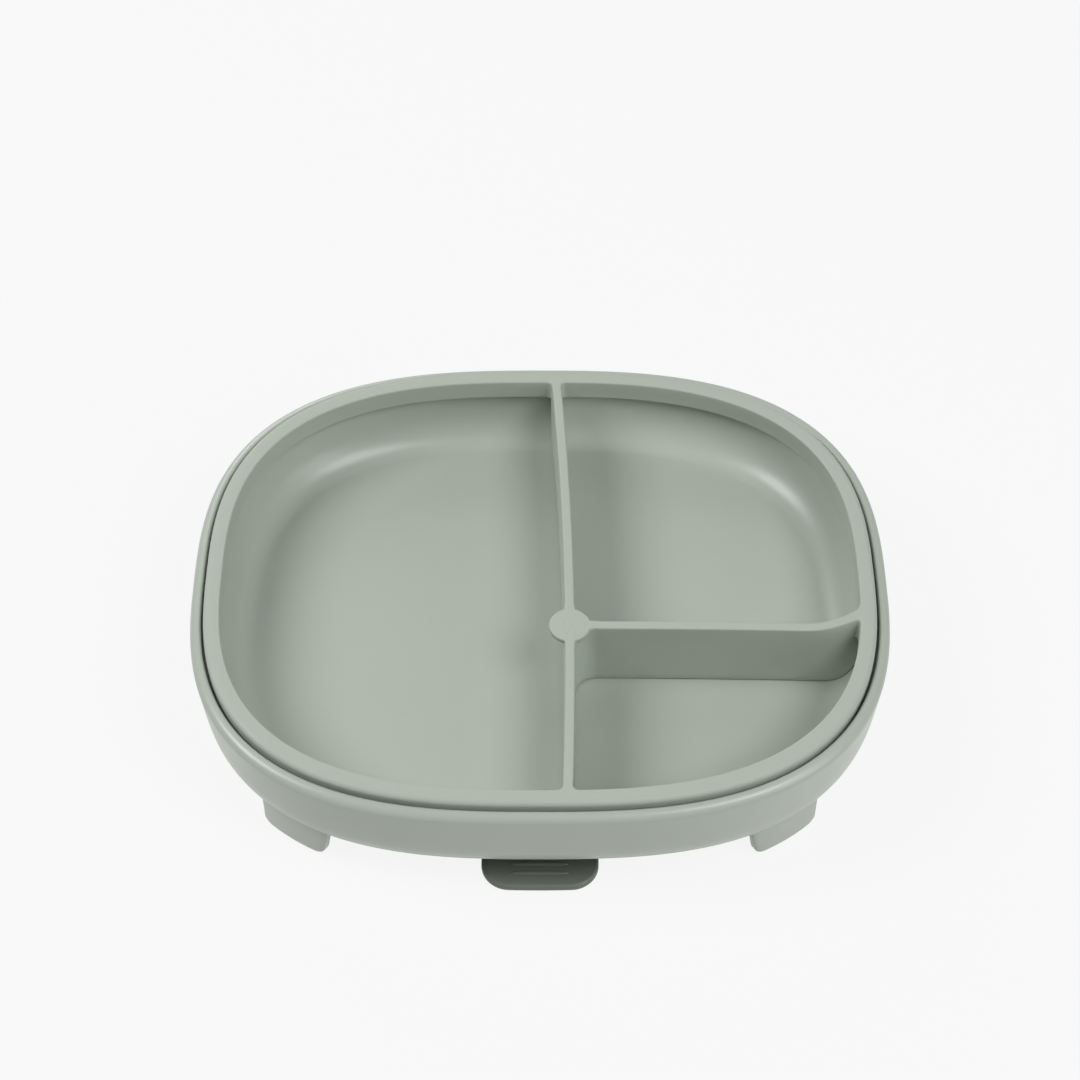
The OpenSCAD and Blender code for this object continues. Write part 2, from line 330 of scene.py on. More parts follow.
@dataclass(frozen=True)
class Finishes:
    """The object's finishes: satin plastic for the bowl, silicone for the soft pieces; the base's silicone
    colour is darkened as painted shade for the shade under the bowl.
    """

    bowl: MouldedFinish = MouldedFinish(
        name="sage_satin_plastic",
        colour=(0.405, 0.450, 0.390),
        drift=(0.390, 0.436, 0.374),
        rough_low=0.29,
        rough_high=0.34,
        grain_scale=2400.0,
        grain=0.6,
        bump=0.00002,
        specular=0.5,
    )
    insert: MouldedFinish = MouldedFinish(
        name="sage_silicone",
        colour=(0.412, 0.456, 0.398),
        drift=(0.396, 0.442, 0.380),
        rough_low=0.52,
        rough_high=0.60,
        grain_scale=3200.0,
        grain=0.8,
        bump=0.00002,
        specular=0.4,
        sheen=0.04,
    )
    # Painted shade: the base is the same sage silicone as the insert, but its colour and drift colour are
    # darkened to about a third to stand in for the shade under the bowl's skirt.
    base: MouldedFinish = MouldedFinish(
        name="sage_silicone_painted_shade",
        colour=(0.140, 0.161, 0.132),
        drift=(0.132, 0.153, 0.124),
        rough_low=0.50,
        rough_high=0.58,
        grain_scale=3200.0,
        grain=0.8,
        bump=0.00002,
        specular=0.4,
        sheen=0.04,
    )


# ---------------------------------------------------------------- plan outline


def signed_pow(value: np.ndarray, power: float) -> np.ndarray:
    """Raises to a power and keeps the sign of the base."""
    return np.sign(value) * np.abs(value) ** power


@dataclass(frozen=True)
class PlanOutline:
    """The rounded oblong that rim, ring, dish and skirt all follow.

    Attributes:
        half_x: Half of the rim's length.
        half_y: Half of the rim's width.
        squareness: Exponent of the outline, 2 for an ellipse.
    """

    half_x: float
    half_y: float
    squareness: float = 2.75

    def points(self, angle: np.ndarray, inset: float | np.ndarray) -> np.ndarray:
        """Plan points at the given angles, drawn in by an inset."""
        power = 2.0 / self.squareness
        x = (self.half_x - inset) * signed_pow(np.cos(angle), power)
        y = (self.half_y - inset) * signed_pow(np.sin(angle), power)
        return np.stack([x, y], axis=-1)

    def even_angles(self, count: int) -> np.ndarray:
        """Angles whose points lie evenly spaced along the rim.

        Args:
            count: How many angles to give.

        Returns:
            The angles, rising from zero.
        """
        fine = np.linspace(0.0, 2.0 * math.pi, 64 * count + 1)
        step = np.linalg.norm(np.diff(self.points(fine, 0.0), axis=0), axis=1)
        length = np.concatenate([[0.0], np.cumsum(step)])
        return np.interp(np.arange(count) * length[-1] / count, length, fine)

    def angle_at(self, x: float, inset: float) -> float:
        """Angle of the point in the first quarter that has this X."""
        return math.acos((x / (self.half_x - inset)) ** (self.squareness / 2.0))

    def depth(self, x: np.ndarray, y: np.ndarray, inset: float | np.ndarray) -> np.ndarray:
        """Signed distance to the inset outline, negative inside, close to true near it."""
        a, b, n = self.half_x - inset, self.half_y - inset, self.squareness
        level = (np.abs(x) / a) ** n + (np.abs(y) / b) ** n
        root = level ** (1.0 / n)
        slope_x = (np.abs(x) / a) ** (n - 1.0) / a
        slope_y = (np.abs(y) / b) ** (n - 1.0) / b
        slope = np.hypot(slope_x, slope_y) * np.maximum(root, 1e-6) ** (1.0 - n)
        return (root - 1.0) / np.maximum(slope, 1e-6)


# ---------------------------------------------------------------- mesh helpers


def mesh_object(name: str, points: np.ndarray, faces: Sequence[Sequence[int]]) -> bpy.types.Object:
    """Makes a linked object from points and faces.

    Args:
        name: The object's name.
        points: One row per vertex, in metres.
        faces: Vertex numbers of each face.

    Returns:
        The object, at the origin.
    """
    mesh = bpy.data.meshes.new(name)
    mesh.from_pydata([tuple(p) for p in points], [], [tuple(f) for f in faces])
    mesh.validate()
    made = bpy.data.objects.new(name, mesh)
    bpy.context.scene.collection.objects.link(made)
    return made


def ring_faces(rings: int, around: int, closed: bool) -> list:
    """Quads between neighbouring rings of points.

    Args:
        rings: How many rings there are.
        around: Points in each ring.
        closed: Whether the last ring joins the first.

    Returns:
        Vertex numbers of each quad.
    """
    faces = []
    for i in range(rings if closed else rings - 1):
        low, high = i * around, ((i + 1) % rings) * around
        for j in range(around):
            k = (j + 1) % around
            faces.append((low + j, low + k, high + k, high + j))
    return faces


def at_height(plan: np.ndarray, z: float) -> np.ndarray:
    """Puts plan points at one height."""
    return np.column_stack([plan, np.full(len(plan), z)])


def loft(name: str, rings: np.ndarray, ends: bool = True) -> bpy.types.Object:
    """Joins rings of points into a solid, with each end drawn in to a pole.

    Args:
        name: The object's name.
        rings: Array of rings, points and coordinates.
        ends: Whether the two ends are closed; if not, the last ring joins the first.

    Returns:
        The object.
    """
    count, around = rings.shape[0], rings.shape[1]
    points = rings.reshape(-1, 3)
    faces = ring_faces(count, around, not ends)
    if ends:
        shares = (0.8, 0.6, 0.4, 0.2, 0.08)
        for edge in (count - 1, 0):
            outer = rings[edge]
            pole = outer.mean(axis=0)
            base, last = edge * around, len(points)
            cap = np.concatenate([pole + (outer - pole) * s for s in shares] + [pole[None]])
            points = np.concatenate([points, cap])
            chain = [base] + [last + k * around for k in range(len(shares))]
            flip = edge == 0
            for low, high in zip(chain, chain[1:]):
                for j in range(around):
                    k = (j + 1) % around
                    quad = (low + j, low + k, high + k, high + j)
                    faces.append(quad[::-1] if flip else quad)
            tip = last + len(shares) * around
            for j in range(around):
                k = (j + 1) % around
                fan = (chain[-1] + j, chain[-1] + k, tip)
                faces.append(fan[::-1] if flip else fan)
    made = mesh_object(name, points, faces)
    face_outwards(made)
    return made


def face_outwards(piece: bpy.types.Object) -> None:
    """Joins doubled points and turns the faces of every closed part of a mesh outwards."""
    work = bmesh.new()
    work.from_mesh(piece.data)
    bmesh.ops.remove_doubles(work, verts=work.verts, dist=SAME_POINT)
    bmesh.ops.recalc_face_normals(work, faces=work.faces)
    if work.calc_volume(signed=True) < 0.0:
        bmesh.ops.reverse_faces(work, faces=work.faces)
    work.to_mesh(piece.data)
    work.free()


def bake(piece: bpy.types.Object) -> None:
    """Turns an object's live modifiers into its plain mesh."""
    bpy.context.view_layer.update()
    graph = bpy.context.evaluated_depsgraph_get()
    made = bpy.data.meshes.new_from_object(piece.evaluated_get(graph), depsgraph=graph)
    old = piece.data
    piece.modifiers.clear()
    piece.data = made
    made.name = piece.name
    bpy.data.meshes.remove(old)


def combine(piece: bpy.types.Object, tool: bpy.types.Object, operation: str) -> None:
    """Joins or cuts a piece with a tool object, and removes the tool."""
    cut = piece.modifiers.new(operation.lower(), "BOOLEAN")
    cut.operation = operation
    cut.solver = "EXACT"
    cut.object = tool
    bake(piece)
    bpy.data.objects.remove(tool, do_unlink=True)


def soften(piece: bpy.types.Object, width: float, segments: int, angle: float) -> None:
    """Rounds the edges of a mesh that are sharper than an angle in degrees."""
    bevel = piece.modifiers.new("soften", "BEVEL")
    bevel.width = width
    bevel.segments = segments
    bevel.limit_method = "ANGLE"
    bevel.angle_limit = math.radians(angle)
    bake(piece)


def smooth(piece: bpy.types.Object, angle: float = 38.0) -> None:
    """Shades a mesh smooth, with edges sharper than an angle in degrees left crisp."""
    mesh = piece.data
    mesh.polygons.foreach_set("use_smooth", [True] * len(mesh.polygons))
    mesh.set_sharp_from_angle(angle=math.radians(angle))
    mesh.update()


def dress(piece: bpy.types.Object, finish: MouldedFinish) -> None:
    """Gives a piece its only material."""
    piece.data.materials.clear()
    piece.data.materials.append(finish.material())


def arc(centre: tuple, radii: tuple, start: float, stop: float, count: int) -> list:
    """Points along an upright arc.

    Args:
        centre: Inset and height of the centre.
        radii: Radius along the inset and along the height.
        start: First angle in degrees, 0 towards a larger inset and 90 up.
        stop: Last angle in degrees.
        count: How many points.

    Returns:
        (inset, height) pairs.
    """
    return [
        (centre[0] + radii[0] * math.cos(a), centre[1] + radii[1] * math.sin(a))
        for a in np.radians(np.linspace(start, stop, count))
    ]


# ---------------------------------------------------------------- geometry nodes


def send_out(
    sheet: NodeSheet,
    source: bpy.types.Node,
    result: bpy.types.Node,
    geometry: bpy.types.NodeSocket,
) -> None:
    """Turns a tree's geometry into real meshes, gives it the finish and puts it out."""
    real = sheet.add("GeometryNodeRealizeInstances")
    sheet.link(geometry, real.inputs["Geometry"])
    paint = sheet.add("GeometryNodeSetMaterial")
    sheet.link(real.outputs["Geometry"], paint.inputs["Geometry"])
    sheet.link(source.outputs["Finish"], paint.inputs["Material"])
    sheet.link(paint.outputs["Geometry"], result.inputs["Geometry"])


def run_tree(piece: bpy.types.Object, tree: bpy.types.NodeTree, values: dict) -> None:
    """Runs a Geometry Nodes tree on an object and keeps the result as its plain mesh.

    Args:
        piece: The object.
        tree: The tree to run.
        values: Value of each of the tree's inputs, by the input's name.
    """
    live = piece.modifiers.new(tree.name, "NODES")
    live.node_group = tree
    for name, value in values.items():
        live[socket_id(tree, name)] = value
    bake(piece)


class OutlineWrap:
    """Bends an unrolled template round the plan outline.

    A template point holds the outline angle in X, the inset from the rim in Y and the
    height in Z, and the tree turns it into its place on the object.
    """

    NAME = "outline_wrap"

    @classmethod
    def tree(cls) -> bpy.types.NodeTree:
        """Builds the tree once and returns it."""
        found = bpy.data.node_groups.get(cls.NAME)
        if found:
            return found
        tree, sheet, source, result = new_group(
            cls.NAME,
            [
                ("Geometry", "NodeSocketGeometry"),
                ("Half Length", "NodeSocketFloat"),
                ("Half Width", "NodeSocketFloat"),
                ("Squareness", "NodeSocketFloat"),
                ("Finish", "NodeSocketMaterial"),
            ],
            [("Geometry", "NodeSocketGeometry")],
            "GeometryNodeTree",
        )
        split = sheet.add("ShaderNodeSeparateXYZ")
        sheet.link(sheet.add("GeometryNodeInputPosition").outputs[0], split.inputs[0])
        power = sheet.math("DIVIDE", 2.0, source.outputs["Squareness"])
        join = sheet.add("ShaderNodeCombineXYZ")
        for axis, (wave, half) in enumerate((("COSINE", "Half Length"), ("SINE", "Half Width"))):
            turn = sheet.math(wave, split.outputs["X"])
            reach = sheet.math("POWER", sheet.math("ABSOLUTE", turn), power)
            signed = sheet.math("MULTIPLY", reach, sheet.math("SIGN", turn))
            inner = sheet.math("SUBTRACT", source.outputs[half], split.outputs["Y"])
            sheet.link(sheet.math("MULTIPLY", signed, inner), join.inputs[axis])
        sheet.link(split.outputs["Z"], join.inputs["Z"])
        place = sheet.add("GeometryNodeSetPosition")
        sheet.link(source.outputs["Geometry"], place.inputs["Geometry"])
        sheet.link(join.outputs[0], place.inputs["Position"])
        send_out(sheet, source, result, place.outputs["Geometry"])
        return tree

    @classmethod
    def apply(cls, piece: bpy.types.Object, plan: PlanOutline, finish: MouldedFinish) -> None:
        """Wraps a template and turns the result into a plain mesh.

        Args:
            piece: The object that holds the unrolled template.
            plan: The outline to follow.
            finish: The finish for all its faces.
        """
        run_tree(piece, cls.tree(), {
            "Half Length": plan.half_x,
            "Half Width": plan.half_y,
            "Squareness": plan.squareness,
            "Finish": finish.material(),
        })


class RibRow:
    """A row of low rounded grip ribs."""

    NAME = "rib_row"

    @classmethod
    def tree(cls) -> bpy.types.NodeTree:
        """Builds the tree once and returns it."""
        found = bpy.data.node_groups.get(cls.NAME)
        if found:
            return found
        tree, sheet, source, result = new_group(
            cls.NAME,
            [
                ("Geometry", "NodeSocketGeometry"),
                ("Count", "NodeSocketInt"),
                ("Start", "NodeSocketVector"),
                ("Pitch", "NodeSocketVector"),
                ("Rib Size", "NodeSocketVector"),
                ("Finish", "NodeSocketMaterial"),
            ],
            [("Geometry", "NodeSocketGeometry")],
            "GeometryNodeTree",
        )
        row = sheet.add("GeometryNodeMeshLine", mode="OFFSET")
        sheet.link(source.outputs["Count"], row.inputs["Count"])
        sheet.link(source.outputs["Start"], row.inputs["Start Location"])
        sheet.link(source.outputs["Pitch"], row.inputs["Offset"])
        block = sheet.add("GeometryNodeMeshCube")
        sheet.link(source.outputs["Rib Size"], block.inputs["Size"])
        block.inputs["Vertices X"].default_value = 6
        round_off = sheet.add("GeometryNodeSubdivisionSurface")
        round_off.inputs["Level"].default_value = 3
        sheet.link(block.outputs["Mesh"], round_off.inputs["Mesh"])
        copies = sheet.add("GeometryNodeInstanceOnPoints")
        sheet.link(row.outputs["Mesh"], copies.inputs["Points"])
        sheet.link(round_off.outputs["Mesh"], copies.inputs["Instance"])
        send_out(sheet, source, result, copies.outputs["Instances"])
        return tree

    @classmethod
    def make(cls, name: str, count: int, start: Vector, pitch: Vector, size: Vector,
             finish: MouldedFinish) -> bpy.types.Object:
        """Makes a row of ribs.

        Args:
            name: The object's name.
            count: How many ribs.
            start: Middle of the first rib.
            pitch: Step from one rib to the next.
            size: Length, width and height of a rib before it is rounded.
            finish: The finish for all ribs.

        Returns:
            The ribs as one plain mesh.
        """
        piece = mesh_object(name, np.zeros((1, 3)), [])
        run_tree(piece, cls.tree(), {
            "Count": count,
            "Start": start,
            "Pitch": pitch,
            "Rib Size": size,
            "Finish": finish.material(),
        })
        return piece


# ---------------------------------------------------------------- shared sizes


@dataclass(frozen=True)
class Envelope:
    """The sizes that the sub-assemblies share, read from the frame where it holds them.

    Attributes:
        plan: The plan outline of the rim.
        top_z: Height of the insert's top.
        rim_z: Height of the bowl's rim.
        leg_z: Height of the legs' feet.
        under_z: Height of the dish floor's underside.
        rim_wall: Thickness of the rim.
        rim_corner: Radius of the rim's inner corner.
        dish_wall: Thickness of the dish.
        ring_gap: Gap between the rim and the sealing ring.
        ring_width: Width of the sealing ring.
        ring_height: Height of the sealing ring over its ledge.
        ring_overhang: How far the ring stands in over the dish wall.
        fillet_run: How far the dish's fillet reaches in over the floor.
        dish_draft: How far the dish wall leans in above its fillet.
        skirt_z: Height of the skirt's lower edge.
    """

    plan: PlanOutline
    top_z: float
    rim_z: float
    leg_z: float
    under_z: float
    rim_wall: float = 3.2 * MM
    rim_corner: float = 0.8 * MM
    dish_wall: float = 2.5 * MM
    ring_gap: float = 0.7 * MM
    ring_width: float = 4.7 * MM
    ring_height: float = 6.3 * MM
    ring_overhang: float = 2.6 * MM
    fillet_run: float = 10.5 * MM
    dish_draft: float = 0.6 * MM
    skirt_z: float = 14.1 * MM

    @classmethod
    def from_frame(cls) -> "Envelope":
        """Reads the envelope from the CAD nodes' boxes."""
        low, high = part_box("bowl_shell")
        divider_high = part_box("divider_insert")[1]
        collar_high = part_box("suction_collar")[1]
        snap_clear = 0.15 * MM
        return cls(
            plan=PlanOutline(half_x=high.x, half_y=high.y),
            top_z=divider_high.z,
            rim_z=high.z,
            leg_z=low.z,
            under_z=collar_high.z + snap_clear,
        )

    @property
    def floor_z(self) -> float:
        """Height of the dish floor's top."""
        return self.under_z + self.dish_wall

    @property
    def ledge_z(self) -> float:
        """Height of the ledge under the sealing ring."""
        return self.top_z - self.ring_height

    @property
    def rim_round(self) -> float:
        """Radius of the rim's outer corner."""
        return self.rim_wall - self.rim_corner

    @property
    def ring_inset(self) -> float:
        """Inset of the ring's inner face."""
        return self.rim_wall + self.ring_gap + self.ring_width

    @property
    def dish_inset(self) -> float:
        """Inset of the dish wall's top, which the ring overhangs."""
        return self.ring_inset - self.ring_overhang

    @property
    def fillet_inset(self) -> float:
        """Inset at which the flat of the floor begins."""
        return self.dish_inset + self.dish_draft + self.fillet_run

    @property
    def fillet_top_z(self) -> float:
        """Height at which the dish wall's fillet begins."""
        return self.ledge_z - self.ring_height / 4.0

    def dish_face(self, clear: float, count: int) -> list:
        """The dish's inner face from the floor's edge to the ledge, moved in by a clearance.

        Args:
            clear: How far the face is moved into the dish.
            count: Points along the fillet.

        Returns:
            (inset, height) pairs from the floor up.
        """
        rise = self.fillet_top_z - self.floor_z
        centre, radii = (self.fillet_inset, self.fillet_top_z), (self.fillet_run - clear, rise - clear)
        return arc(centre, radii, 270.0, 180.0, count) + [(self.dish_inset + clear, self.ledge_z)]


# ---------------------------------------------------------------- bowl


@dataclass
class BowlShell:
    """The rigid bowl: dish, ledge, rim, skirt, legs and the ring under its floor."""

    size: Envelope
    finishes: Finishes
    skirt_wall: float = 2.4 * MM
    skirt_draft: float = 1.9 * MM
    skirt_tuck: float = 1.1 * MM
    leg_x: float = 69.5 * MM
    leg_width: float = 23.4 * MM
    leg_wall: float = 2.3 * MM
    leg_step: float = 1.4 * MM
    leg_lean: float = 1.6 * MM
    leg_outer_lean: float = 0.5 * MM
    leg_corner: float = 3.0 * MM
    leg_edge: float = 0.5 * MM
    leg_root: float = 4.0 * MM
    leg_flare: float = 0.6 * MM
    ledge_corner: float = 0.5 * MM
    boss_radius: float = 30.0 * MM
    boss_wall: float = 2.5 * MM
    boss_depth: float = 5.8 * MM
    boss_edge: float = 0.4 * MM
    boss_bury: float = 1.0 * MM
    bead: float = 0.9 * MM
    bead_rise: float = 2.1 * MM
    bead_half: float = 0.7 * MM

    def skirt_inset(self, z: float) -> float:
        """How far the skirt's outer face lies in from the rim at a height."""
        crest = self.size.rim_z - self.size.rim_round
        foot = self.size.skirt_z + self.skirt_wall / 2.0
        share = max(0.0, crest - z) / (crest - foot)
        return self.skirt_draft * share + self.skirt_tuck * share**8

    def section(self) -> list:
        """The bowl's section from the floor's top over the rim to the floor's underside."""
        size = self.size
        half_skirt, turn = self.skirt_wall / 2.0, size.rim_round
        foot = size.skirt_z + half_skirt
        tuck = self.skirt_draft + self.skirt_tuck
        roof = size.ledge_z - size.dish_wall
        rise = size.fillet_top_z - size.floor_z + size.dish_wall
        corner = self.ledge_corner
        outside = [(self.skirt_inset(z), z) for z in np.linspace(size.rim_z - turn, foot, 20)[1:]]
        inner_z = np.linspace(foot, roof - corner, 10)[1:]
        inside = [(self.skirt_inset(z) + self.skirt_wall, z) for z in inner_z]
        roof_in = self.skirt_inset(roof) + self.skirt_wall
        under_centre = (size.fillet_inset, size.fillet_top_z)
        under_radii = (size.fillet_run + size.dish_wall, rise)
        return (
            size.dish_face(0.0, 28)
            + arc((size.rim_wall - corner, size.ledge_z + corner), (corner, corner), 270.0, 360.0, 5)
            + arc((turn, size.rim_z - size.rim_corner), (size.rim_corner, size.rim_corner), 0.0, 90.0, 7)[:-1]
            + arc((turn, size.rim_z - turn), (turn, turn), 90.0, 180.0, 13)
            + outside
            + arc((tuck + half_skirt, foot), (half_skirt, half_skirt), 180.0, 360.0, 13)[1:]
            + inside
            + [(roof_in + corner, roof)]
            + arc(under_centre, under_radii, 184.0, 270.0, 22)
        )

    def shell(self) -> bpy.types.Object:
        """Builds the swept shell as a wrapped template with the floor closed at its middle."""
        angles = self.size.plan.even_angles(AROUND)
        section = self.section()
        unrolled = [at_height(np.column_stack([angles, np.full(AROUND, s)]), z) for s, z in section]
        rings = np.stack(unrolled)
        piece = mesh_object("bowl", rings.reshape(-1, 3), ring_faces(len(section), AROUND, False))
        OutlineWrap.apply(piece, self.size.plan, self.finishes.bowl)
        return self.close_floor(piece, len(section))

    def close_floor(self, piece: bpy.types.Object, rings: int) -> bpy.types.Object:
        """Closes the open middle of the floor, top and underside."""
        count = len(piece.data.vertices)
        flat = np.zeros(count * 3)
        piece.data.vertices.foreach_get("co", flat)
        wrapped = flat.reshape(rings, AROUND, 3)
        solid = loft("bowl_shell_body", wrapped)
        bpy.data.objects.remove(piece, do_unlink=True)
        return solid

    def leg_end(self, lean: float, root: float) -> list:
        """Lower edge of one half of a leg, from its middle round its corner to its root.

        Args:
            lean: How far the leg's side leans in towards its foot.
            root: Height of the leg's root inside the skirt.

        Returns:
            (distance from the middle, height) pairs.
        """
        low, half, corner = self.size.leg_z, self.leg_width / 2.0, self.leg_corner
        foot = half - lean - corner
        turn = np.radians(np.linspace(0.0, 80.0, 8))
        flat = [(foot * share, low) for share in (0.0, 0.35, 0.7)]
        rounded = [(foot + corner * math.sin(a), low + corner * (1.0 - math.cos(a))) for a in turn]
        return flat + rounded + [(half, self.size.skirt_z), (half + self.leg_flare, root)]

    def leg_template(self) -> tuple:
        """Unrolled block of one leg: outline angle, inset and height of each corner.

        Returns:
            Points and faces of the template for the leg in the first quarter.
        """
        size = self.size
        inset = self.skirt_draft + self.skirt_tuck + self.leg_step
        middle = size.plan.angle_at(self.leg_x, inset)
        here = size.plan.points(np.array([middle - 0.01, middle + 0.01]), inset)
        per_metre = 0.02 / np.linalg.norm(here[1] - here[0])
        root = size.skirt_z + self.leg_root
        inner, outer = self.leg_end(self.leg_lean, root), self.leg_end(self.leg_outer_lean, root)
        edge = [(-s, z) for s, z in outer[:0:-1]] + inner
        points, faces = [], []
        for s, z in edge[1:-1]:
            angle = middle + s * per_metre
            for depth, height in ((0.0, z), (0.0, root), (self.leg_wall, root), (self.leg_wall, z)):
                points.append((angle, inset + depth, height))
        columns = len(edge) - 2
        for i in range(columns - 1):
            for k in range(4):
                a, b = 4 * i + k, 4 * i + (k + 1) % 4
                faces.append((a, b, b + 4, a + 4))
        faces.append((3, 2, 1, 0))
        last = 4 * (columns - 1)
        faces.append((last, last + 1, last + 2, last + 3))
        return np.array(points), faces

    def legs(self) -> bpy.types.Object:
        """Builds the four legs, wrapped round the outline and softened at their edges."""
        points, faces = self.leg_template()
        everything, all_faces = [], []
        for turn, mirror in ((0.0, 1.0), (math.pi, -1.0), (math.pi, 1.0), (2.0 * math.pi, -1.0)):
            copy = points.copy()
            copy[:, 0] = turn + mirror * points[:, 0]
            start = len(everything) * len(points)
            everything.append(copy)
            all_faces += [tuple(start + v for v in f) for f in faces]
        piece = mesh_object("legs", np.concatenate(everything), all_faces)
        OutlineWrap.apply(piece, self.size.plan, self.finishes.bowl)
        face_outwards(piece)
        soften(piece, self.leg_edge, 3, 40.0)
        return piece

    def boss(self) -> bpy.types.Object:
        """Builds the ring under the floor with its snap bead."""
        size = self.size
        foot = size.under_z - self.boss_depth
        inner, outer, edge = self.boss_radius - self.boss_wall, self.boss_radius, self.boss_edge
        top = size.under_z + self.boss_bury
        bead_z = foot + self.bead_rise
        profile = [
            (inner, top),
            (inner, foot + edge),
            (inner + edge, foot),
            (outer - edge, foot),
            (outer, foot + edge),
            (outer, bead_z - self.bead_half),
            (outer + self.bead, bead_z),
            (outer, bead_z + self.bead_half),
            (outer, top),
        ]
        return revolve("boss", profile, 144, closed=True)

    def build(self) -> bpy.types.Object:
        """Builds the whole bowl, dresses it and puts it on its body."""
        bowl = self.shell()
        combine(bowl, self.legs(), "UNION")
        combine(bowl, self.boss(), "UNION")
        bowl.name = "bowl"
        smooth(bowl)
        dress(bowl, self.finishes.bowl)
        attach(bowl, Body.BOWL.value)
        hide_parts("bowl_shell")
        return bowl


def revolve(name: str, profile: Sequence[tuple], around: int, closed: bool) -> bpy.types.Object:
    """Turns a (radius, height) profile round the Z axis.

    Args:
        name: The object's name.
        profile: The section's points.
        around: Points round the axis.
        closed: Whether the section is a closed loop, rather than one that ends at the axis.

    Returns:
        The object.
    """
    angles = np.linspace(0.0, 2.0 * math.pi, around, endpoint=False)
    rings = [at_height(np.column_stack([r * np.cos(angles), r * np.sin(angles)]), z) for r, z in profile]
    return loft(name, np.stack(rings), ends=not closed)


# ---------------------------------------------------------------- divider insert


def round_corner(a: np.ndarray, b: np.ndarray, radius: float) -> np.ndarray:
    """Joins two signed distances so that their common corner is rounded."""
    u, v = np.maximum(a + radius, 0.0), np.maximum(b + radius, 0.0)
    return np.minimum(-radius, np.maximum(a, b)) + np.hypot(u, v)


class Side(Enum):
    """The insert's three compartments."""

    LEFT = "left"
    BACK = "back"
    FRONT = "front"


@dataclass(frozen=True)
class CutLevel:
    """A compartment's outline at one height.

    Attributes:
        z: The height.
        shrink: How far the outline is drawn in.
        ring_inset: Inset of the face that closes the compartment on its outside.
        turn: How far the side wall's outer end is turned to the back.
    """

    z: float
    shrink: float
    ring_inset: float
    turn: float


